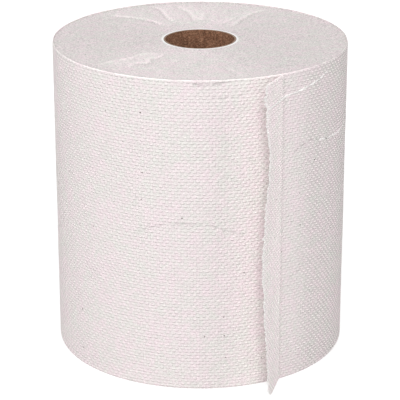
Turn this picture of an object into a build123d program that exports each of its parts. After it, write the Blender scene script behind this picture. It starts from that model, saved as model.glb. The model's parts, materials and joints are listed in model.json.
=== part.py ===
from build123d import *

import os
from math import cos, radians, sin

# A paper towel roll standing on end: one long web wound on a cardboard core, with its torn end
# lifting off the side. Millimetres and degrees. The axis is Z, the lower end is at Z = 0, and a
# bearing is counted from the front (-Y) towards the right (+X).

# The wound web
web_width = 203.2
roll_diameter = 190.5
sheet = 0.4

# The core that it is wound on
core_bore = 44.45
core_wall = 1.2

# Near its end the web wandered up while it was wound: so many steps, so many turns apart
climbs = 2
climb = 0.3
turns_per_climb = 1.25

# The tail: past a crease along the roll, the loose end stands off the side and ends in a tear
crease_bearing = 32.5
tail_bow = 1.6
# Share of the web's width from the bottom, the distance there from the crease to the tear, and the
# angle by which the tail leaves the side
tail_course = [
    (0.00, 29.0, 44.0),
    (0.03, 32.3, 42.4),
    (0.07, 33.3, 41.3),
    (0.17, 33.0, 40.2),
    (0.25, 34.4, 37.8),
    (0.34, 34.1, 36.9),
    (0.44, 34.9, 34.9),
    (0.52, 33.1, 35.6),
    (0.62, 31.3, 36.4),
    (0.70, 29.5, 38.0),
    (0.76, 28.5, 38.8),
    (0.86, 30.0, 35.6),
    (0.94, 30.3, 34.1),
    (1.00, 31.2, 32.1),
]

# Wrinkles pressed into the upper end, as grooves with a V section that fade out at their ends
wrinkle_width = 2.0
wrinkle_depth = 0.6
wrinkle_end_scale = 0.25
# Share of the way from the core to the rim, and the bearing there
wrinkles = [
    [(0.07, 135), (0.16, 144), (0.24, 152), (0.48, 155), (0.90, 164)],
    [(0.20, 188), (0.39, 186), (0.67, 188), (0.83, 189)],
    [(0.20, 207), (0.42, 201), (0.63, 199), (0.79, 204), (0.91, 207)],
    [(0.09, 222), (0.22, 215), (0.38, 218), (0.52, 224), (0.73, 227), (0.91, 230)],
    [(0.24, 313), (0.48, 317), (0.67, 315), (0.79, 314)],
    [(0.13, 342), (0.23, 331), (0.35, 331), (0.56, 326), (0.83, 328)],
]

core_radius = core_bore / 2 + core_wall
roll_radius = roll_diameter / 2
web_lift = climbs * climb
pack_radius = roll_radius - (climbs * turns_per_climb + 1) * sheet


def direction(bearing):
    """Unit vector across the roll at a bearing."""
    return Vector(sin(radians(bearing)), -cos(radians(bearing)), 0)


def spiral_centre(bearing):
    """Centre of the quarter that starts a turn, which sets the turn's middle on the axis."""
    return (direction(bearing) - direction(bearing + 90)) * (sheet / 8)


def turn_outline(turns_in):
    """Outline of the roll under so many of its last turns, with the core's hole in it.

    The outer edge is one turn of a spiral, drawn as four quarter arcs that meet at a tangent. Each
    arc is a quarter of a sheet smaller than the one before, so a turn ends a sheet below its start.
    """
    step = sheet / 4
    radius = roll_radius - turns_in * sheet
    bearing = crease_bearing + 360 * turns_in
    centre = spiral_centre(bearing)
    arcs = []
    for _ in range(4):
        arcs.append(CenterArc(centre, radius, bearing - 90, 90))
        radius -= step
        bearing += 90
        centre += direction(bearing) * step
    end_of_turn = Line(arcs[-1] @ 1, arcs[0] @ 0)
    return make_face(Curve() + arcs + end_of_turn) - Circle(core_radius)


def wound_web():
    """All the turns as one solid, with the last ones a little higher than the pack inside them."""
    web = Pos(0, 0, web_lift) * extrude(turn_outline(0), amount=web_width)
    for count in range(1, climbs + 1):
        inside = turn_outline(count * turns_per_climb)
        lift = web_lift - count * climb
        web -= Pos(0, 0, lift + web_width) * extrude(inside, amount=climb)
        web += Pos(0, 0, lift) * extrude(inside, amount=climb)
    return web


def tail_section(share, reach, opening):
    """Section of the tail at one height: a bowed strip that leaves the last turn at the crease."""
    outward = direction(crease_bearing)
    along = direction(crease_bearing - 90)
    run = along * cos(radians(opening)) + outward * sin(radians(opening))
    off = outward * cos(radians(opening)) - along * sin(radians(opening))
    root = spiral_centre(crease_bearing) + outward * (roll_radius - sheet)
    height = Vector(0, 0, web_lift + share * web_width)
    inner = [root, root + run * (reach / 2) + off * tail_bow, root + run * reach]
    outer = [point + outward * sheet for point in reversed(inner)]
    return make_face(Polyline(*[point + height for point in inner + outer], close=True))


def tail():
    """The loose end of the web, from its crease to its uneven tear."""
    return loft([tail_section(*course) for course in tail_course], ruled=True)


def wrinkle(points):
    """A groove along a path on the upper end, fading out at both ends."""
    path = [direction(bearing) * (core_radius + share * (pack_radius - core_radius)) for share, bearing in points]
    overshoot = 0.5
    sections = []
    for i, point in enumerate(path):
        ahead = path[min(i + 1, len(path) - 1)] - path[max(i - 1, 0)]
        side = Vector(-ahead.Y, ahead.X, 0).normalized()
        scale = wrinkle_end_scale if i in (0, len(path) - 1) else 1.0
        half_width = scale * wrinkle_width / 2 * (1 + overshoot)
        top = point + Vector(0, 0, web_width + scale * wrinkle_depth * overshoot)
        floor = point + Vector(0, 0, web_width - scale * wrinkle_depth)
        sections.append(make_face(Polyline(top - side * half_width, floor, top + side * half_width, close=True)))
    return loft(sections, ruled=True)


def core():
    """The plain cardboard tube, cut flush with the web."""
    return extrude(Circle(core_radius) - Circle(core_bore / 2), amount=web_width)


def towel_web():
    """The whole web: its turns, its tail and the wrinkles in its upper end."""
    web = wound_web() + tail()
    for points in wrinkles:
        web -= wrinkle(points)
    return web


os.makedirs("parts", exist_ok=True)
export_step(core(), "parts/core.step")
export_step(towel_web(), "parts/towel_web.step")
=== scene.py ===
import json
from math import cos, hypot, pi, radians, sin, sqrt

import bpy
import numpy as np
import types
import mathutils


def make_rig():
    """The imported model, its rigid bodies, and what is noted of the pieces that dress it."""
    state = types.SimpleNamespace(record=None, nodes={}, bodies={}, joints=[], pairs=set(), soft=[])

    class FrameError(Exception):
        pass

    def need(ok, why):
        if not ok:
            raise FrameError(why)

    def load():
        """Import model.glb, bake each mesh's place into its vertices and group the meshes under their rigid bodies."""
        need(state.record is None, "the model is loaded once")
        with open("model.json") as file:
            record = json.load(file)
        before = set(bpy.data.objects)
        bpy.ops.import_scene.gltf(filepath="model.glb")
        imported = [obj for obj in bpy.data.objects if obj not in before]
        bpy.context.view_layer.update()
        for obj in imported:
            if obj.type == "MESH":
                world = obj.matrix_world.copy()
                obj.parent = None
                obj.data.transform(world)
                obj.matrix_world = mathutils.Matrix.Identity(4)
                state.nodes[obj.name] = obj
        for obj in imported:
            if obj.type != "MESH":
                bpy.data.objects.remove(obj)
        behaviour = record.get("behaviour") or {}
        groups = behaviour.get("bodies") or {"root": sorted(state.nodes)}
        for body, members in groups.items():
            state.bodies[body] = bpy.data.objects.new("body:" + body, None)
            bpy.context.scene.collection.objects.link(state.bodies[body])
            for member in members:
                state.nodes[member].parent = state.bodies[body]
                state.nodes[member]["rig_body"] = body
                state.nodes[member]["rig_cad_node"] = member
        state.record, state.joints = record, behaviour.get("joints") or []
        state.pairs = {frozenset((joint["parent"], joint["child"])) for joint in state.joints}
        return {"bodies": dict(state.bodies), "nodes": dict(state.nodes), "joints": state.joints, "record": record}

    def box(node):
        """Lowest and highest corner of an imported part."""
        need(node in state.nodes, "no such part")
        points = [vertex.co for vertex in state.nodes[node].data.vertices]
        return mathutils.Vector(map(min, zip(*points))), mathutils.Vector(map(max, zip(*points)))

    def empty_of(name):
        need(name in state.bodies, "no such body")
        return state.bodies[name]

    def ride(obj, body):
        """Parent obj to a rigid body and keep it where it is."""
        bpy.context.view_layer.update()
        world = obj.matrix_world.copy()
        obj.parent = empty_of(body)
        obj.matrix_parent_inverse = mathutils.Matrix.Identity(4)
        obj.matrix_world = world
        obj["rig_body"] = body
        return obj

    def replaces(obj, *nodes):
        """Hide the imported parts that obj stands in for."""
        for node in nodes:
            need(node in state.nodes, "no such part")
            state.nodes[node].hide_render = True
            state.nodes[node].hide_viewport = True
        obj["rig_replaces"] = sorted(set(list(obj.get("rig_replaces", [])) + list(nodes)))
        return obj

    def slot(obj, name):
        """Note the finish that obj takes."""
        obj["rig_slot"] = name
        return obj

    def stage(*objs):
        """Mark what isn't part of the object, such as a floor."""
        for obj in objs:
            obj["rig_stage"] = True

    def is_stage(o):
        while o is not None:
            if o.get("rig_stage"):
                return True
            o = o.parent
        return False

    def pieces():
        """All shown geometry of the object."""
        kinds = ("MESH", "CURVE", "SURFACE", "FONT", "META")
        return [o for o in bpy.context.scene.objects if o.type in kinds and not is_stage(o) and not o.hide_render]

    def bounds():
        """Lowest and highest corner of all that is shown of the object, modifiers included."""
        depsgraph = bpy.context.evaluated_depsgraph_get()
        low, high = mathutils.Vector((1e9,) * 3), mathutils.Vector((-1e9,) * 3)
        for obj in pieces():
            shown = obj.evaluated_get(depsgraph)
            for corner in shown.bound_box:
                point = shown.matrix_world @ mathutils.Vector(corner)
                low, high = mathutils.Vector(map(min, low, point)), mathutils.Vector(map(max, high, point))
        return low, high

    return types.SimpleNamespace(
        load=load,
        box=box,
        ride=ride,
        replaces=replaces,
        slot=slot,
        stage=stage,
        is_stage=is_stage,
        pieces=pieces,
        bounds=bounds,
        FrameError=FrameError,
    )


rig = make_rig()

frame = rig.load()
cad_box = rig.bounds()

# A hardwound roll of embossed paper towel standing on end, with its torn end lifting off the side.
# Metres. A bearing is counted in degrees from the front (-Y) towards the right (+X). A place on the
# web is given by its distance along the web from the tail's crease, negative on the tail, and its
# height above the web's lower edge.

mm = 0.001

# The wound web
roll_radius = 95.25 * mm
sheet = 0.4 * mm
web_width = 203.2 * mm
turn_length = 2 * pi * roll_radius
core_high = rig.box("core")[1]
web_low, web_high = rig.box("towel_web")
core_radius = core_high.x
mounts = {mount["name"]: mount for mount in frame["record"]["mounts"]}
bore_radius = mounts["core_bore"]["dims"]["r_mm"] * mm
web_top = web_high.z
web_foot = web_top - web_width
shell = 0.80 * mm
winding_gap = 0.02 * mm

# Near its end the web climbed over the turns inside it: one step up after so many turns, over so many
# degrees
climb = 0.3 * mm
turns_per_climb = 1.25
climb_run = 4.0

# The embossing: raised dashes in rows, every other row moved by half a dash. dash_flat is half the
# length of a dash's full height, dash_round is how far its slope runs from there, and first_row is how
# far the first row lies above the web's edge, in rows.
dash_pitch = 3.88 * mm
row_count = 100
row_pitch = web_width / row_count
dash_flat = 0.66 * mm
dash_round = 0.92 * mm
emboss_depth = 0.54 * mm
columns_per_dash = 4
rows_per_dash = 3
first_row = 1 / rows_per_dash

# The tail: share of the web's width from the bottom, the distance there from the crease to the tear,
# and the angle by which the tail leaves the side
crease = 32.5
bend_lead = 0.5 * mm
tail_course = [
    (0.00, 29.0, 44.0),
    (0.03, 32.3, 42.4),
    (0.07, 33.3, 41.3),
    (0.17, 33.0, 40.2),
    (0.25, 34.4, 37.8),
    (0.34, 34.1, 36.9),
    (0.44, 34.9, 34.9),
    (0.52, 33.1, 35.6),
    (0.62, 31.3, 36.4),
    (0.70, 29.5, 38.0),
    (0.76, 28.5, 38.8),
    (0.86, 30.0, 35.6),
    (0.94, 30.3, 34.1),
    (1.00, 31.2, 32.1),
]
tail_thickness = 0.2 * mm

# Folds pressed into the outer turn: bearing and height in mm of their points, and how proud they stand
# in mm. The bearing runs on past 360 where the web passes the front again, and is under the crease's
# on the tail. The shape of a fold is wider than the line painted along it: pale along a raised fold, a
# painted highlight, and dark along a groove, a painted shade.
folds = [
    ([(11.0, 188.4), (24.0, 188.0), (31.5, 188.2), (33.8, 188.9), (37.6, 189.6), (43.8, 191.4),
      (49.5, 193.4), (56.0, 196.6)], 0.52),
    ([(37.6, 151.2), (41.9, 154.3), (46.5, 155.8), (52.0, 154.4)], -0.24),
    ([(52.0, 154.2), (56.6, 152.9), (67.3, 151.9), (76.3, 153.8)], 0.34),
    ([(32.9, 66.7), (36.5, 68.3), (43.2, 72.0)], -0.14),
    ([(334.6, 101.7), (340.7, 107.2), (348.2, 110.8), (354.3, 111.2), (360.2, 110.7), (364.9, 109.7),
      (370.0, 106.4), (376.3, 103.4)], -0.17),
    ([(357.5, 200.6), (362.9, 200.0), (367.6, 200.2)], -0.30),
    ([(365.8, 200.9), (369.7, 201.4), (373.0, 201.8), (377.0, 201.7)], -0.26),
    ([(364.0, 191.6), (369.2, 191.3)], -0.26),
    ([(369.0, 192.0), (373.6, 191.4)], -0.26),
    ([(373.8, 191.6), (375.7, 192.9), (377.6, 194.6)], -0.16),
]
fold_half_width = 0.8 * mm
fold_line_width = 0.75 * mm

# Wrinkles in the upper end: share of the way from the core to the rim and bearing of their points, and
# their strength. The paper is raised on the left of each line. The way ends inside the sheets that
# climb at the rim.
wrinkles = [
    ([(0.96, 229), (0.80, 225), (0.58, 220), (0.40, 218), (0.15, 218)], 1.0),
    ([(0.95, 205), (0.85, 202), (0.74, 201), (0.55, 203), (0.40, 205), (0.24, 204)], 1.0),
    ([(0.96, 192), (0.75, 191), (0.68, 188), (0.49, 187), (0.24, 186)], 0.9),
    ([(0.25, 176), (0.46, 175), (0.58, 177), (0.78, 178)], 0.4),
    ([(0.14, 142), (0.32, 146), (0.49, 149), (0.79, 150), (0.95, 145)], 0.9),
    ([(0.20, 158), (0.33, 155), (0.52, 154)], 0.5),
    ([(0.20, 330), (0.29, 316), (0.38, 311), (0.56, 313), (0.74, 311), (0.93, 312)], 0.7),
    ([(0.80, 329), (0.66, 325), (0.61, 331), (0.53, 332), (0.45, 327), (0.39, 331), (0.20, 330)], 0.9),
    ([(0.60, 11), (0.76, 15), (0.96, 15)], 0.5),
]
wrinkle_half_width = 1.1 * mm
wrinkle_depth = 0.60 * mm
climbing_sheets = 3.5

# Fans of the upper end, at its back and front, that are painted paler, a painted sheen of the sheets'
# edges: bearing of their middle, half width in degrees, and how far
painted_sheen_fans = [(184, 42, 0.44), (318, 26, 0.22), (356, 32, 0.46)]


# Shapes

def smooth_step(x):
    """0 below 0, 1 above 1, and three x squared less two x cubed between them."""
    x = np.clip(x, 0, 1)
    return x * x * (3 - 2 * x)


def hump(x, middle, half_width):
    """1 at the middle, and e to the minus square of the distance from it, counted in half widths."""
    return np.exp(-((x - middle) / half_width) ** 2)


def on_roll(radius, bearing, height):
    """Points at a distance from the axis, a bearing and a height."""
    angle = np.radians(bearing)
    x = radius * np.sin(angle)
    y = -radius * np.cos(angle)
    return np.stack(np.broadcast_arrays(x, y, height), axis=-1)


def unevenness(points, size, seed):
    """Soft noise from about -1 to 1: ten sine waves of about one length, each its own way in space,
    added."""
    rng = np.random.default_rng(seed)
    count = 10
    ways = rng.normal(size=(count, 3))
    ways /= np.linalg.norm(ways, axis=1)[:, None]
    waves = 2 * pi / (size * rng.uniform(0.7, 1.5, count))
    phases = rng.uniform(0, 2 * pi, count)
    total = np.zeros(points.shape[:-1])
    for way, wave, phase in zip(ways, waves, phases):
        total += np.sin(points @ way * wave + phase)
    return total / sqrt(count)


def beside_line(points, line):
    """Distance of points in a plane from a line of straight runs, positive on its left, and the share
    of the line passed there: the nearest point of each run, and of these the nearest."""
    nearest = np.full(points.shape[:-1], np.inf)
    side = np.zeros_like(nearest)
    passed = np.zeros_like(nearest)
    runs = np.diff(line, axis=0)
    lengths = np.linalg.norm(runs, axis=1)
    before = np.concatenate([[0], np.cumsum(lengths)])
    for start, run, length, gone in zip(line, runs, lengths, before):
        offset = points - start
        share = np.clip(offset @ run / length ** 2, 0, 1)
        gap = np.linalg.norm(offset - share[..., None] * run, axis=-1)
        left = np.sign(run[0] * offset[..., 1] - run[1] * offset[..., 0])
        closer = gap < nearest
        nearest = np.where(closer, gap, nearest)
        side = np.where(closer, gap * left, side)
        passed = np.where(closer, (gone + share * length) / before[-1], passed)
    return side, passed


def rounded_line(points):
    """A line with its corners cut twice: each run gives two points, a quarter in from its ends."""
    for _ in range(2):
        runs = np.diff(points, axis=0)
        inside = np.stack([points[:-1] + 0.25 * runs, points[:-1] + 0.75 * runs], axis=1).reshape(-1, 2)
        points = np.concatenate([points[:1], inside, points[-1:]])
    return points


def fade_at_ends(passed, share):
    """1 along a line, and 0 at its two ends, over a share of its length."""
    return smooth_step(passed / share) * smooth_step((1 - passed) / share)


def along_web(bearing):
    """Distance along the web of a bearing on it: the arc from the crease."""
    return radians(bearing - crease) * roll_radius


def turn_radius(along):
    """Outer radius of the wound web: it shrinks by one sheet for each turn."""
    return roll_radius - sheet * along / turn_length


def embossing(along, up):
    """Height of the embossing from 0 to 1. Each dash is a short run of full height, and its height
    falls off smoothly with the distance from that run. Odd rows are moved by half a dash."""
    row = up / row_pitch - first_row
    number = np.round(row)
    dash = along / dash_pitch + 0.5 * (number % 2)
    aside = np.abs(dash - np.round(dash)) * dash_pitch
    above = (row - number) * row_pitch
    distance = np.hypot(np.maximum(aside - dash_flat, 0), above)
    return 1 - smooth_step(distance / dash_round)


def emboss_strength(points, along, up):
    """Share of its full height that the embossing keeps: uneven over the web, weak beside the crease
    and where the rim has been rubbed, and fullest a little to the right of the crease."""
    uneven = 0.88 + 0.12 * unevenness(points, 14 * mm, seed=3)
    by_crease = 1 - 0.45 * hump(along, 4 * mm, 4 * mm)
    rubbed_along = (along - along_web(369.0)) / (17 * mm)
    rubbed_up = (up - 196 * mm) / (7 * mm)
    rubbed = 1 - 0.7 * np.exp(-rubbed_along ** 2 - rubbed_up ** 2)
    fuller = 0.86 + 0.14 * hump(along, 65 * mm, 50 * mm)
    return uneven * by_crease * rubbed * fuller


def web_relief(points, along, up):
    """How far the web's outer face lies below its highest level: the embossing's hollows, slow waves
    in the sheet, and the folds, which are narrow ridges or grooves along their lines."""
    wave_depth = 0.05 * mm
    depth = emboss_depth * (1 - embossing(along, up) * emboss_strength(points, along, up))
    depth += wave_depth * (1 + unevenness(points, 45 * mm, seed=5))
    place = np.stack([along, up], axis=-1)
    for fold_points, proud in folds:
        line = np.array([(along_web(bearing), height * mm) for bearing, height in fold_points])
        side, passed = beside_line(place, line)
        depth -= proud * mm * hump(side, 0, fold_half_width) * fade_at_ends(passed, share=0.12)
    return depth


def make_piece(name, points, closed_path, coordinates, attributes=()):
    """A solid from a closed profile carried along a path. points is a grid, one row of profile points
    for each station of the path, and each four neighbours make a face. A path with ends has a face
    across each of them. coordinates gives each UV map as a grid with one more place each way where the
    grid closes on itself, and attributes gives named grids of numbers for the points."""
    sharp_edge = radians(60)
    stations, around = points.shape[:2]
    station = np.arange(stations if closed_path else stations - 1)[:, None]
    place = np.arange(around)[None, :]
    corners = [np.broadcast_arrays(station + i, place + j) for i, j in ((0, 0), (1, 0), (1, 1), (0, 1))]
    index = np.stack([(a % stations) * around + b % around for a, b in corners], axis=-1).reshape(-1, 4)
    flat = points.reshape(-1, 3)
    a, b, c, d = (flat[index[:, k]] for k in range(4))
    volume = (np.cross(b, c) * a).sum() + (np.cross(c, d) * a).sum()
    caps = []
    if not closed_path:
        first = np.arange(around)
        last = first[::-1] + (stations - 1) * around
        for cap in (first, last):
            volume += (np.cross(flat[cap[1:-1]], flat[cap[2:]]) * flat[cap[0]]).sum()
            caps.append(cap)
    turned = slice(None, None, -1 if volume < 0 else 1)
    faces = index[:, turned].tolist() + [cap[turned].tolist() for cap in caps]
    mesh = bpy.data.meshes.new(name)
    mesh.from_pydata(flat, [], faces)
    for layer_name, grid in coordinates.items():
        values = np.stack([grid[a, b] for a, b in corners], axis=-2)
        values = values.reshape(-1, 4, 2)[:, turned].reshape(-1, 2)
        for cap in caps:
            values = np.concatenate([values, grid[:stations, :around].reshape(-1, 2)[cap[turned]]])
        layer = mesh.uv_layers.new(name=layer_name)
        layer.uv.foreach_set("vector", values.astype(np.float32).ravel())
    for attribute_name, grid in dict(attributes).items():
        attribute = mesh.attributes.new(attribute_name, "FLOAT", "POINT")
        attribute.data.foreach_set("value", grid.astype(np.float32).ravel())
    mesh.shade_smooth()
    mesh.set_sharp_from_angle(angle=sharp_edge)
    piece = bpy.data.objects.new(name, mesh)
    bpy.context.scene.collection.objects.link(piece)
    return piece


def bake_grid(across, up):
    """UV map for baked finishes: two rising rows of numbers, laid out over nearly the whole square."""
    margin = 0.004
    span = [margin + (1 - 2 * margin) * (v - v[0]) / (v[-1] - v[0]) for v in (across, up)]
    return np.stack(np.meshgrid(*span, indexing="ij"), axis=-1)


def rim_dip(bearing):
    """How far the web's upper edge dips below its highest level at a bearing: a slow wave."""
    usual_dip = 0.07 * mm
    circle = on_roll(roll_radius, bearing, 0.0)
    return usual_dip * np.maximum(1 + unevenness(circle, 60 * mm, seed=8), 0)


def last_turn(name, first_dash, last_dash):
    """Part of the last turn as a thin shell. Its outer face is a spiral with the embossing cut into it,
    and its inner face is a plain spiral below. The section at each bearing is carried along. Past one
    full turn, where the web passes under the tail's root, the outer face sinks to half the shell."""
    inner_rows = 6
    sinking_run = 2 * mm
    columns = np.arange(first_dash * columns_per_dash, last_dash * columns_per_dash + 1)
    along = columns * dash_pitch / columns_per_dash
    along[0] = max(along[0], bend_lead)
    rows = row_count * rows_per_dash
    share_out = np.arange(rows + 1) / rows
    share_in = np.linspace(1, 0, inner_rows + 1)
    share = np.concatenate([share_out, share_in])
    bearing = crease + np.degrees(along / roll_radius)
    up = share[None, :] * (web_width - rim_dip(bearing)[:, None])
    along_grid = np.broadcast_to(along[:, None], up.shape)
    plain = on_roll(turn_radius(along)[:, None], bearing[:, None], web_foot + up)
    outer = np.arange(len(share)) < len(share_out)
    under = smooth_step((along_grid - turn_length) / sinking_run)
    depth = np.where(outer, web_relief(plain, along_grid, up), shell - winding_gap)
    depth = np.where(outer, depth + (0.5 * shell - depth) * under, depth)
    radius = turn_radius(along)[:, None] - depth
    points = on_roll(radius, bearing[:, None], web_foot + up)
    web_map = np.stack([along_grid, up], axis=-1)
    web_map = np.concatenate([web_map, web_map[:, :1]], axis=1)
    spread = np.concatenate([share_out * 0.93, 0.94 + 0.055 * (1 - share_in), [1.0]])
    return make_piece(name, points, False, {"sheet": web_map, "OFBake": bake_grid(along, spread)})


def tear_profile(up):
    """Distance from the crease to the tear at each height: the tail's course, with rounded corners at
    the web's edges and teeth of random size, fine ones everywhere and longer ones here and there. The
    course runs along the teeth's tips, so their usual length comes off it."""
    long_teeth = 26
    tooth_half_width = 0.8 * mm
    usual_tooth = 1.0 * mm
    share, reach, _ = np.array(tail_course).T
    reach = np.interp(up / web_width, share, reach) * mm
    rng = np.random.default_rng(21)
    for pitch, size in ((7.0 * mm, 0.9 * mm), (2.2 * mm, 1.0 * mm), (0.8 * mm, 0.7 * mm)):
        knots = np.arange(0, web_width + 2 * pitch, pitch)
        reach += np.interp(up, knots, rng.uniform(-size, size, len(knots)))
    teeth = rng.uniform(0, web_width, long_teeth)
    for tooth, length in zip(teeth, rng.uniform(1.0, 3.2, long_teeth) * mm):
        reach += length * np.maximum(1 - np.abs(up - tooth) / tooth_half_width, 0)
    for edge, corner, cut in ((up, 3.4 * mm, 9.0 * mm), (web_width - up, 7.0 * mm, 7.0 * mm)):
        into = np.clip(1 - edge / corner, 0, 1)
        reach -= cut * (1 - np.sqrt(1 - into ** 2))
    return reach - usual_tooth


def both_faces(grid):
    """A grid's columns in order for the outer face, and back for the inner one."""
    return np.concatenate([grid, grid[:, ::-1]], axis=1)


def tail():
    """The loose end. At each height its line is a cubic curve that leaves the side at a tangent just
    before the crease, bends out within a few millimetres, and curls back a little towards the tear.
    The section is that line with the embossing and the sheet's thickness on it, carried up the web.
    Towards its root the sheet thickens to the shell that it grows from."""
    rows = row_count * rows_per_dash * 2
    columns = 52
    smoothing = 20
    box_margin = 0.05 * mm
    root_stem = 0.9 * mm
    tip_stem = 0.62
    end_curl = radians(1)
    frayed_width = 1.2 * mm
    frayed_share = 0.25
    root_run = 3 * mm
    width = web_width - rim_dip(np.array([crease]))[0]
    up = np.linspace(0, width, rows + 1)
    shares, _, openings = np.array(tail_course).T
    opening = np.radians(np.interp(up / web_width, shares, openings))
    window = np.ones(2 * smoothing + 1) / (2 * smoothing + 1)
    opening = np.convolve(np.pad(opening, smoothing, mode="edge"), window, mode="valid")
    reach = tear_profile(up)

    lead = np.degrees(bend_lead / roll_radius)
    root = on_roll(turn_radius(bend_lead), crease + lead, 0.0)[:2]
    hinge = on_roll(roll_radius, crease, 0.0)[:2]
    outward = on_roll(1.0, crease, 0.0)[:2]
    ahead = on_roll(1.0, crease - 90, 0.0)[:2]
    leaving = on_roll(1.0, crease + lead - 90, 0.0)[:2]

    def heading(angle):
        """Unit vectors at an angle outward from the side's tangent."""
        return np.cos(angle)[:, None] * ahead + np.sin(angle)[:, None] * outward

    room = (web_low.y + box_margin - hinge[1]) / heading(opening)[:, 1]
    reach = np.minimum(reach, room)
    tip = hinge + heading(opening) * reach[:, None]
    stems = [
        np.broadcast_to(root, tip.shape),
        np.broadcast_to(root + leaving * root_stem, tip.shape),
        tip - heading(opening - end_curl) * (tip_stem * reach[:, None]),
        tip,
    ]
    # Closer together by the crease
    t = np.linspace(0, 1, columns + 1)
    t = 0.45 * t + 0.55 * t ** 2
    weights = [(1 - t) ** 3, 3 * t * (1 - t) ** 2, 3 * t ** 2 * (1 - t), t ** 3]
    line = sum(w[None, :, None] * stem[:, None, :] for w, stem in zip(weights, stems))
    step = np.gradient(line, axis=1)
    step /= np.linalg.norm(step, axis=2)[..., None]
    off = np.stack([-step[..., 1], step[..., 0]], axis=-1)
    off *= np.sign((off[0, 0] * root).sum())
    gone = np.concatenate([np.zeros((rows + 1, 1)),
                           np.cumsum(np.linalg.norm(np.diff(line, axis=1), axis=2), axis=1)], axis=1)
    along = bend_lead - gone
    to_tear = gone[:, -1:] - gone
    height = np.broadcast_to(up[:, None], along.shape)

    middle = np.concatenate([line, height[..., None]], axis=2)
    relief = web_relief(middle, along, height)
    whole = smooth_step(to_tear / frayed_width)
    thickness = tail_thickness * (frayed_share + (1 - frayed_share) * whole)
    root_share = smooth_step(1 - gone / root_run)
    inner_depth = (relief + thickness) * (1 - root_share) + (shell - winding_gap) * root_share
    outer_face = line - off * relief[..., None]
    inner_face = line - off * inner_depth[..., None]
    section = np.concatenate([outer_face, inner_face[:, ::-1]], axis=1)
    heights = np.broadcast_to((web_foot + up)[:, None, None], section.shape[:2] + (1,))
    points = np.concatenate([section, heights], axis=2)

    web_map = np.stack([both_faces(along), both_faces(height)], axis=-1)
    web_map = np.concatenate([web_map, web_map[:, :1]], axis=1)
    spread = np.concatenate([t * 0.49, 0.50 + t * 0.49, [1.0]])
    near_tear = both_faces(hump(to_tear, 0, 2.4 * mm))
    # Painted light: this number makes the tail lighter away from its root
    loose = both_faces(smooth_step((gone - 0.5 * mm) / root_run))
    return make_piece("tail", points, False, {"sheet": web_map, "OFBake": bake_grid(up, spread)},
                      {"tear": near_tear, "loose": loose})


def wrinkle_height(points):
    """Height that the wrinkles give the upper end, as a share of their depth: along each line a groove,
    a ridge on its left, and a long slope behind the ridge, all fading at the line's ends. Distances
    from the line are counted in half widths of the groove."""
    ridge_place = 1.9
    ridge_half_width = 1.3
    slope_run = 7
    pack_radius = roll_radius - climbing_sheets * sheet
    total = np.zeros(points.shape[:-1])
    for line, strength in wrinkles:
        share, bearing = rounded_line(np.array(line)).T
        path = on_roll(core_radius + share * (pack_radius - core_radius), bearing, 0.0)[:, :2]
        side, passed = beside_line(points[..., :2], path)
        far = side / wrinkle_half_width
        groove = -0.55 * hump(far, 0, 1)
        ridge = 0.60 * hump(far, ridge_place, ridge_half_width)
        slope = 0.60 * np.exp(-np.maximum(far, 0) / slope_run) * smooth_step(far / 2)
        total += strength * (groove + ridge + slope) * fade_at_ends(passed, share=0.25)
    return total


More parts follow.
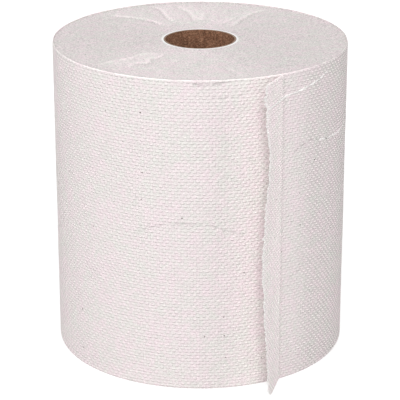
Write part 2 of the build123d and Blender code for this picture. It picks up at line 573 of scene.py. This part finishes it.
def wound_turns():
    """All the turns under the last one, as a solid ring. Its section is a rectangle whose upper edge
    steps down from the climbing turns at the rim, and carries wrinkles and slow waves. A number at each
    point is the wrinkles' height, more in fans at the front and back, and paints light and shade on the
    paper: paler on the wrinkles' ridges and in the fans, a painted sheen, and darker in their grooves."""
    stations = 720
    flat_rows = 92
    calm_share = 1 / 14
    settled = 0.1 * mm
    top_margin = 0.02 * mm
    tuck = 0.05 * mm
    turn = np.arange(stations) / stations
    bearing = crease + 360 * turn
    level = web_foot + web_width - 2 * climb
    first_lift = climb * (2 - smooth_step((turn - (turns_per_climb - 1)) * 360 / climb_run))
    second_lift = climb * (1 - smooth_step((turn - (2 * turns_per_climb - 2)) * 360 / climb_run))
    edges = [roll_radius - shell - sheet * (k + turn) for k in (0, 1, 2)]
    inward = np.linspace(0, 1, flat_rows)
    flat_radius = edges[2][:, None] + (core_radius + winding_gap - edges[2][:, None]) * inward[None, :]
    flat = on_roll(flat_radius, bearing[:, None], 0.0)
    slow_waves = 0.16 * mm * unevenness(flat, 24 * mm, seed=11)
    short_waves = 0.10 * mm * unevenness(flat, 9 * mm, seed=12)
    waves = slow_waves + short_waves
    calm = fade_at_ends(inward, calm_share)
    wrinkle_height_and_painted_sheen = wrinkle_height(flat)
    flat_height = level + (wrinkle_depth * wrinkle_height_and_painted_sheen + waves - settled) * calm[None, :]
    flat_height = np.minimum(flat_height, web_top - top_margin)

    one = np.ones(stations)
    wall_heights = np.linspace(0, level - 4 * mm, 5)
    outer_wall = [(edges[0], one * z) for z in wall_heights]
    steps = [
        (edges[0], level + first_lift),
        (edges[1] + tuck, level + first_lift),
        (edges[1], level + second_lift),
        (edges[2] + tuck, level + second_lift),
    ]
    inner_wall = [(one * (core_radius + winding_gap), one * z) for z in wall_heights[::-1]]
    foot_radii = np.linspace(0, 1, 24)[1:-1]
    foot = [(core_radius + winding_gap + (edges[0] - core_radius) * s, one * 0.0) for s in foot_radii]
    before = outer_wall + steps
    after = inner_wall + foot
    radius = np.column_stack([r for r, _ in before] + [flat_radius] + [r for r, _ in after])
    height = np.column_stack([z for _, z in before] + [flat_height] + [z for _, z in after])
    points = on_roll(radius, bearing[:, None], height)
    span = np.concatenate([
        np.linspace(0.0, 0.10, len(outer_wall)),
        np.linspace(0.11, 0.14, len(steps)),
        0.15 + 0.60 * inward,
        np.linspace(0.76, 0.86, len(inner_wall)),
        np.linspace(0.87, 0.99, len(foot)),
        [1.0],
    ])
    # Painted sheen: fans at the front and back of the upper end are made paler
    for middle, half_width, share in painted_sheen_fans:
        aside = (bearing - middle + 180) % 360 - 180
        wrinkle_height_and_painted_sheen = wrinkle_height_and_painted_sheen + share * hump(aside, 0, half_width)[:, None] * calm[None, :]
    outside = [np.zeros((stations, len(rows))) for rows in (before, after)]
    wrinkle_height_and_painted_sheen = np.concatenate([outside[0], wrinkle_height_and_painted_sheen, outside[1]], axis=1)
    return make_piece("wound_turns", points, True, {"OFBake": bake_grid(np.append(turn, 1.0), span)},
                      {"wrinkle_height_and_painted_sheen": wrinkle_height_and_painted_sheen})


def core_tube():
    """The cardboard tube: a ring-shaped section carried round the axis. Its bore shows the edge of the
    inner ply as a step along a helix, which rises at once, stays for a while and falls back over the
    rest of a turn. The ply stands off the wall at one place of the cut end, which is slightly ragged."""
    stations = 360
    rows = 84
    top = core_high.z
    ply = 0.35 * mm
    ply_pitch = 92 * mm
    ply_step = 0.14 * mm
    step_share = 0.012
    edge_share = 0.05
    dent_depth = 0.025 * mm
    peel_bearing = 151
    peel_half_width = 7.5
    peel_reach = 5 * mm
    peel_off = 0.75 * mm
    peel_gap = 3.2 * mm
    raggedness = 0.08 * mm

    turn = np.arange(stations) / stations
    bearing = 360 * turn
    down = np.linspace(0, 1, rows) ** 1.5
    heights = top * (1 - down)
    helix = (heights[None, :] / ply_pitch + turn[:, None]) % 1.0
    rise = smooth_step(helix / step_share)
    fall = smooth_step((helix - edge_share) / (1 - edge_share))
    step_in = ply_step * (rise - fall)
    circle = on_roll(bore_radius, bearing[:, None], heights[None, :])
    dents = dent_depth * (1 + unevenness(circle, 17 * mm, seed=31))
    apart = hump(bearing, peel_bearing, peel_half_width)
    peel = apart[:, None] * hump(heights, top, peel_reach)[None, :]
    bore = bore_radius + ply_step - step_in + dents - peel_off * peel
    one = np.ones(stations)
    rng = np.random.default_rng(4)
    ragged = raggedness * (rng.uniform(-1, 0, stations) + np.roll(rng.uniform(-1, 0, stations), 1))
    end = [
        (one * core_radius, top + ragged - 0.05 * mm),
        (one * core_radius - 0.12 * mm, top + ragged),
        (one * (bore_radius + ply + 0.30 * mm), top + ragged),
        (bore_radius + ply + 0.12 * mm - 0.2 * mm * apart, top + ragged - peel_gap * apart),
        (bore_radius + ply - peel_off * apart, top + ragged - 0.02 * mm),
    ]
    wall = [(one * core_radius, one * z) for z in np.linspace(0, top - 5 * mm, 6)]
    bore_height = heights[None, :] + ragged[:, None] * (1 - down[None, :]) ** 8
    radius = np.column_stack([r for r, _ in wall + end] + [bore])
    height = np.column_stack([z for _, z in wall + end] + [bore_height])
    points = on_roll(radius, bearing[:, None], height)
    span = np.concatenate([np.linspace(0, 0.18, len(wall)), np.linspace(0.19, 0.28, len(end)),
                           0.29 + 0.70 * down, [1.0]])
    return make_piece("core_tube", points, True, {"OFBake": bake_grid(np.append(turn, 1.0), span)})


# Finishes

def tone(red, green, blue):
    """Colour from a screen's 0 to 255 numbers: each share to the power 2.4 above its straight foot."""
    share = np.array([red, green, blue]) / 255
    light = np.where(share <= 0.04045, share / 12.92, ((share + 0.055) / 1.055) ** 2.4)
    return (*light.tolist(), 1.0)


class Wire:
    """One socket that a node gives out. Arithmetic on wires adds Math nodes to their tree."""

    def __init__(self, finish, socket):
        self.finish = finish
        self.socket = socket

    def math(self, operation, *others, clamp=False):
        """A Math node on this wire and other wires or numbers."""
        sockets = dict(enumerate((self, *others)))
        return self.finish.add("ShaderNodeMath", {"operation": operation, "use_clamp": clamp}, sockets)

    def __add__(self, other):
        return self.math("ADD", other)

    def __sub__(self, other):
        return self.math("SUBTRACT", other)

    def __rsub__(self, other):
        return self.finish.add("ShaderNodeMath", {"operation": "SUBTRACT"}, {0: other, 1: self})

    def __mul__(self, other):
        return self.math("MULTIPLY", other)

    def __truediv__(self, other):
        return self.math("DIVIDE", other)

    def __pow__(self, other):
        return self.math("POWER", other)

    def __lt__(self, other):
        return self.math("LESS_THAN", other)

    def __abs__(self):
        return self.math("ABSOLUTE")

    def __round__(self):
        return self.math("ROUND")

    __radd__ = __add__
    __rmul__ = __mul__


class Finish:
    """A material and its nodes."""

    def __init__(self, name):
        self.material = bpy.data.materials.new(name)
        self.material.use_nodes = True
        self.tree = self.material.node_tree
        self.tree.nodes.clear()

    def add(self, kind, settings=(), sockets=(), output=0):
        """A node of a type: its settings first, and then the number, colour or wire of each socket. It
        gives one of the node's outputs."""
        node = self.tree.nodes.new(kind)
        for key, value in dict(settings).items():
            setattr(node, key, value)
        for key, value in dict(sockets).items():
            if isinstance(value, Wire):
                self.tree.links.new(value.socket, node.inputs[key])
            else:
                node.inputs[key].default_value = value
        return Wire(self, node.outputs[output]) if node.outputs else None

    def place(self):
        """Where a point is in the object's space."""
        return self.add("ShaderNodeTexCoord", output="Object")

    def attribute(self, name):
        """The number that a mesh carries at each point under a name."""
        return self.add("ShaderNodeAttribute", {"attribute_name": name}, output="Fac")

    def parts(self, vector):
        """The three numbers of a vector."""
        return [self.add("ShaderNodeSeparateXYZ", (), {0: vector}, output=axis) for axis in range(3)]

    def vector(self, x, y, z=0.0):
        """A vector from three numbers."""
        return self.add("ShaderNodeCombineXYZ", (), {0: x, 1: y, 2: z})

    def stretched(self, vector, x, y, z=1.0):
        """A vector with each of its numbers multiplied."""
        return self.add("ShaderNodeVectorMath", {"operation": "MULTIPLY"}, {0: vector, 1: (x, y, z)})

    def noise(self, vector, scale, detail=2.0, roughness=0.5):
        """Noise from 0 to 1 about a half, so many waves to the metre."""
        return self.add("ShaderNodeTexNoise", (),
                        {"Vector": vector, "Scale": scale, "Detail": detail, "Roughness": roughness})

    def soft(self, value, low, high):
        """0 below low, 1 above high and a smooth rise between them."""
        return self.add("ShaderNodeMapRange", {"interpolation_type": "SMOOTHSTEP"},
                        {"Value": value, "From Min": low, "From Max": high})

    def mix(self, share, first, second):
        """A colour between two."""
        return self.add("ShaderNodeMix", {"data_type": "RGBA"}, {0: share, 6: first, 7: second}, output=2)

    def lit(self, colour, level):
        """A colour made lighter or darker."""
        return self.add("ShaderNodeVectorMath", {"operation": "SCALE"}, {0: colour, "Scale": level})

    def specks(self, vector, cell, radius, kept):
        """1 on small round specks: one in each cell of a grid of random points, and a share of them
        kept."""
        sockets = {"Vector": vector, "Scale": 1 / cell}
        settings = {"voronoi_dimensions": "2D"}
        distance = self.add("ShaderNodeTexVoronoi", settings, sockets, output="Distance")
        chance = self.parts(self.add("ShaderNodeTexVoronoi", settings, sockets, output="Color"))
        size = chance[1] * (radius / cell) + 0.5 * radius / cell
        return (distance < size) * (chance[0] < kept)

    def surface(self, colour, roughness, height, constants):
        """The finished material: a Principled shader with a bump in metres, and constants on its
        sockets."""
        normal = self.add("ShaderNodeBump", (), {"Height": height, "Distance": 1.0})
        sockets = {"Base Color": colour, "Roughness": roughness, "Normal": normal, **constants}
        shader = self.add("ShaderNodeBsdfPrincipled", (), sockets)
        self.add("ShaderNodeOutputMaterial", (), {"Surface": shader})
        return self.material


def from_line(along, up, points):
    """Distance from a line of straight runs: the shortest of the distances from its runs."""
    nearest = None
    for (x, y), (next_x, next_y) in zip(points, points[1:]):
        run = (next_x - x, next_y - y)
        length = hypot(*run)
        beyond_x = along - x
        beyond_y = up - y
        passed = (beyond_x * run[0] + beyond_y * run[1]).math("DIVIDE", length ** 2, clamp=True)
        gap = ((beyond_x - passed * run[0]) ** 2 + (beyond_y - passed * run[1]) ** 2) ** 0.5
        nearest = gap if nearest is None else nearest.math("MINIMUM", gap)
    return nearest


def mottled(finish, vector):
    """Recycled pulp's colour: between a pink and a green grey white, in patches of several sizes."""
    broad = finish.soft(finish.noise(vector, 60.0, detail=3.0), 0.36, 0.64)
    fine = finish.soft(finish.noise(vector, 260.0), 0.35, 0.65)
    pink = tone(242, 228, 231)
    green = tone(234, 231, 227)
    return finish.mix(broad * 0.42 + fine * 0.58, pink, green)


def embossed_paper():
    """Outer turn and tail: raised dashes, painted lighter on their tops and darker in the hollows between
    them, a painted light and shade, crepe lines along the roll, fibres, specks, folds and a pale tear.
    The dashes and their painted light and shade are stronger to the right of the crease, and the painted
    light and shade weaker in front. The tail, and the web that it covers, are painted lighter, a painted
    light where the tail shades the web. A raised fold gets a pale line, a painted highlight, and a groove
    and the tail's hinge by the crease get a dark one, a painted shade. The web's upper edge gets a
    painted highlight."""
    dash_relief = 0.56 * mm
    fold_relief = 1.2 * mm
    finish = Finish("embossed paper")
    web = finish.add("ShaderNodeUVMap", {"uv_map": "sheet"})
    along, up, _ = finish.parts(web)
    row = up / row_pitch - first_row
    number = round(row)
    dash = along / dash_pitch + 0.5 * number.math("FLOORED_MODULO", 2.0)
    aside = abs(dash - round(dash)) * dash_pitch
    above = (row - number) * row_pitch
    beyond = (aside - dash_flat).math("MAXIMUM", 0.0)
    distance = (beyond ** 2 + above * above) ** 0.5
    raised = 1 - finish.soft(distance, 0.0, dash_round)

    place = finish.place()
    patches = finish.soft(finish.noise(place, 170.0, detail=3.0), 0.32, 0.66)
    crepe = finish.noise(finish.stretched(web, 2600, 260), 1.0, detail=3.0)
    fibre = finish.noise(place, 1500.0, detail=3.0)
    fuller = finish.soft(along, 6 * mm, 30 * mm) * (1 - finish.soft(along, 110 * mm, 160 * mm))
    in_front = finish.soft(along, along_web(298.0), along_web(322.0))
    # How strong the painted light and shade on the dashes is
    strength = (0.78 + patches * 0.32) * (0.86 + fuller * 1.12 - in_front * 0.26)
    height = raised * (1 + fuller * 0.35) * dash_relief + crepe * (0.010 * mm) + fibre * (0.012 * mm)

    creased = 0.0
    grooved = 0.0
    for points, proud in folds:
        line = [(along_web(bearing), height_up * mm) for bearing, height_up in points]
        narrow = 1 - finish.soft(from_line(along, up, line), 0.0, fold_line_width)
        if proud > 0:
            creased = narrow * proud + creased
        else:
            grooved = narrow * -proud + grooved
    height = height + (creased * (0.5 * fold_relief) - grooved * fold_relief)

    colour = mottled(finish, place)
    # Painted light and shade: lighter on the dashes and darker in the hollows between them, stronger to the right of
    # the crease and weaker in front
    shade = 1 - finish.soft(distance, 0.10 * mm, 0.90 * mm)
    level = 0.906 + 0.22 * (shade - 0.34) * strength
    level = level + (fibre - 0.5) * (0.36 - fuller * 0.20) + (crepe - 0.5) * 0.06
    # Painted light: the tail away from its root, and the web beside the tear that the tail shades, are made lighter
    loose = finish.attribute("loose")
    painted_light_by_tail = finish.soft(along, along_web(366.0), along_web(380.0))
    level = level * (1 + loose * 0.17 + painted_light_by_tail * 0.09)
    # A painted highlight along the web's upper edge
    edge = finish.soft(up, web_width - 0.9 * mm, web_width - 0.4 * mm)
    # Painted shade: a dark band on the tail by the crease, where the sheet bends, and dark lines along the grooves
    hinge = finish.soft(along, -2.4 * mm, -1.0 * mm) * (1 - finish.soft(along, -0.3 * mm, 0.6 * mm))
    level = level - grooved * 0.5 - hinge * 0.03
    level = level + edge * (0.16 + finish.soft(finish.noise(place, 120.0), 0.38, 0.55) * 0.20)
    colour = finish.lit(colour, level)
    # The tear is pale, and a pale line along each raised fold is a painted highlight
    pale = finish.attribute("tear").math("MAXIMUM", creased * 3.0)
    colour = finish.mix(pale * 0.95, colour, tone(253, 251, 249))
    specks = finish.specks(web, cell=13 * mm, radius=0.34 * mm, kept=0.16)
    colour = finish.mix(specks * 0.9, colour, tone(100, 88, 86))
    roughness = 0.9 + fibre * 0.1
    return finish.surface(colour, roughness, height, {"Specular IOR Level": 0.2})


def wound_edge_paper():
    """The roll's ends: the edges of many sheets, as fine rings with a little unevenness, grain and
    fibres, and streaks that run out from the core. The paper is painted paler on the wrinkles' ridges and
    in fans at the front and back, and darker in the wrinkles' grooves, a painted light, sheen and shade,
    and a ring by the core is paler."""
    finish = Finish("wound edge paper")
    place = finish.place()
    x, y, _ = finish.parts(place)
    radius = (x * x + y * y) ** 0.5
    wander = finish.noise(place, 45.0) * (0.5 * mm)
    rings = ((radius + wander) * (2 * pi / sheet)).math("SINE")
    grain = finish.noise(place, 520.0, roughness=0.6)
    fibre = finish.noise(place, 1050.0, roughness=0.7)
    streaks = finish.noise(finish.vector(x / radius * 70, y / radius * 70, radius * 25), 1.0)
    height = rings * (0.010 * mm) + grain * (0.08 * mm) + fibre * (0.12 * mm) + streaks * (0.10 * mm)
    colour = mottled(finish, place)
    level = 0.85 + (grain - 0.5) * 0.16 + (fibre - 0.5) * 1.3 + (streaks - 0.5) * 0.10
    # Painted light and shade: paler on the wrinkles' ridges and darker in their grooves, and a painted sheen in fans
    # at the front and back of the upper end
    level = level + finish.attribute("wrinkle_height_and_painted_sheen") * 0.18
    by_core = 1 - finish.soft(radius, core_radius + 0.5 * mm, core_radius + 2.2 * mm)
    colour = finish.mix(by_core * 0.9, finish.lit(colour, level), tone(255, 254, 253))
    specks = finish.specks(finish.vector(x, y), cell=12 * mm, radius=0.32 * mm, kept=0.12)
    colour = finish.mix(specks * 0.7, colour, tone(112, 100, 98))
    return finish.surface(colour, 0.92 + fibre * 0.08, height, {"Specular IOR Level": 0.15})


def kraft_board():
    """Core: brown board with mottled pulp, fibres that run round the tube, and a paler cut end."""
    finish = Finish("kraft board")
    place = finish.place()
    x, y, z = finish.parts(place)
    clouds = finish.noise(place, 520.0, detail=3.0, roughness=0.65)
    fibres = finish.noise(finish.stretched(place, 900, 900, 2200), 1.0, detail=3.0, roughness=0.7)
    fine = finish.noise(place, 1050.0, roughness=0.7)
    colour = finish.mix(finish.soft(clouds, 0.34, 0.66), tone(120, 84, 64), tone(150, 112, 88))
    colour = finish.lit(colour, 1.03 + (fibres - 0.5) * 1.6 + (fine - 0.5) * 3.4)
    radius = (x * x + y * y) ** 0.5
    cut = finish.soft(z, core_high.z - 0.28 * mm, core_high.z - 0.10 * mm)
    inner_ply = cut * finish.soft(radius, core_radius - 0.35 * mm, core_radius - 0.50 * mm)
    colour = finish.mix(inner_ply * 0.8, finish.lit(colour, 1 - cut * 0.3), tone(178, 156, 138))
    height = clouds * (0.05 * mm) + fibres * (0.05 * mm) + fine * (0.03 * mm)
    return finish.surface(colour, 0.84 + fine * 0.12, height, {"Specular IOR Level": 0.25})


def studio_floor():
    """Pale floor. The camera sees it as white but for the object's shadow: a part of its light is its
    own there, and for every other ray it is plain pale paper."""
    finish = Finish("studio floor")
    camera = finish.add("ShaderNodeLightPath", output="Is Camera Ray")
    pale = finish.add("ShaderNodeBsdfDiffuse", (), {"Color": (0.88, 0.88, 0.88, 1.0)})
    white = finish.add("ShaderNodeEmission", (), {"Color": (1.0, 1.0, 1.0, 1.0), "Strength": 0.62})
    half = finish.add("ShaderNodeBsdfDiffuse", (), {"Color": (0.50, 0.50, 0.50, 1.0)})
    seen = finish.add("ShaderNodeAddShader", (), {0: white, 1: half})
    shader = finish.add("ShaderNodeMixShader", (), {0: camera, 1: pale, 2: seen})
    finish.add("ShaderNodeOutputMaterial", (), {"Surface": shader})
    return finish.material


# Stage, light and camera

def stage_floor():
    """A wide flat floor at the height that the roll stands on."""
    reach = 4.0
    mesh = bpy.data.meshes.new("floor")
    mesh.from_pydata([(-reach, -reach, 0), (reach, -reach, 0), (reach, reach, 0), (-reach, reach, 0)],
                     [], [(0, 1, 2, 3)])
    floor = bpy.data.objects.new("floor", mesh)
    bpy.context.scene.collection.objects.link(floor)
    floor.data.materials.append(studio_floor())
    return floor


def soft_light(name, bearing, elevation, distance, size, power):
    """A square lamp that faces the roll's middle from a bearing and an elevation."""
    lamp = bpy.data.lights.new(name, "AREA")
    lamp.size = size
    lamp.energy = power
    light = bpy.data.objects.new(name, lamp)
    bpy.context.scene.collection.objects.link(light)
    flat = distance * cos(radians(elevation))
    light.location = (flat * sin(radians(bearing)), -flat * cos(radians(bearing)),
                      web_top / 2 + distance * sin(radians(elevation)))
    light.rotation_euler = (radians(90 - elevation), 0, radians(bearing))


def studio_world():
    """Even pale light all round. The camera sees white there."""
    room_light = 0.34
    world = bpy.data.worlds.new("studio")
    bpy.context.scene.world = world
    world.use_nodes = True
    tree = world.node_tree
    tree.nodes.clear()
    path = tree.nodes.new("ShaderNodeLightPath")
    both = tree.nodes.new("ShaderNodeMixShader")
    tree.links.new(path.outputs["Is Camera Ray"], both.inputs[0])
    for socket, strength in ((1, room_light), (2, 1.0)):
        light = tree.nodes.new("ShaderNodeBackground")
        light.inputs["Color"].default_value = (1.0, 1.0, 1.0, 1.0)
        light.inputs["Strength"].default_value = strength
        tree.links.new(light.outputs[0], both.inputs[socket])
    output = tree.nodes.new("ShaderNodeOutputWorld")
    tree.links.new(both.outputs[0], output.inputs["Surface"])


def photo_camera():
    """The camera stands in front of the roll and looks down on it."""
    looks_down = 20.519
    view = bpy.data.cameras.new("camera")
    view.sensor_width = 36.0
    view.lens = 165.6
    camera = bpy.data.objects.new("camera", view)
    bpy.context.scene.collection.objects.link(camera)
    camera.location = (0, -1.1449, 0.52094)
    camera.rotation_euler = (radians(90 - looks_down), 0, 0)
    bpy.context.scene.camera = camera


photo_camera()
studio_world()
soft_light("front lamp", bearing=1, elevation=38, distance=6.0, size=2.06, power=170)
soft_light("low lamp", bearing=-4, elevation=4, distance=3.0, size=1.2, power=15)
soft_light("left lamp", bearing=-63, elevation=35, distance=2.6, size=1.2, power=18)
soft_light("right lamp", bearing=80, elevation=28, distance=2.6, size=1.2, power=11)
soft_light("back lamp", bearing=180, elevation=22, distance=1.9, size=1.0, power=11)
soft_light("low back lamp", bearing=176, elevation=4, distance=3.0, size=1.2, power=12)
bpy.context.scene.view_settings.view_transform = "Standard"
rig.stage(stage_floor())

# The last turn is drawn in two halves, and runs on by two dashes under the tail's root
paper = embossed_paper()
turn_dashes = turn_length / dash_pitch
half_way = int(turn_dashes / 2)
last_dash = int(turn_dashes) + 2
pieces = {
    last_turn("last_turn_right", 0, half_way): ("towel_web", "towel_paper", paper),
    last_turn("last_turn_left", half_way, last_dash): ("towel_web", "towel_paper", paper),
    tail(): ("towel_web", "towel_paper", paper),
    wound_turns(): ("towel_web", "towel_paper", wound_edge_paper()),
    core_tube(): ("core", "core_board", kraft_board()),
}
for piece, (node, slot, material) in pieces.items():
    piece.data.materials.append(material)
    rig.ride(piece, "root")
    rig.replaces(piece, node)
    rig.slot(piece, slot)

# The hidden CAD nodes carry the same finishes
for node, material in (("towel_web", wound_edge_paper()), ("core", kraft_board())):
    frame["nodes"][node].data.materials.clear()
    frame["nodes"][node].data.materials.append(material)

seen_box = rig.bounds()
with open("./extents.json", "w") as size_file:
    json.dump({"cad": [list(corner) for corner in cad_box], "scene": [list(corner) for corner in seen_box]}, size_file)
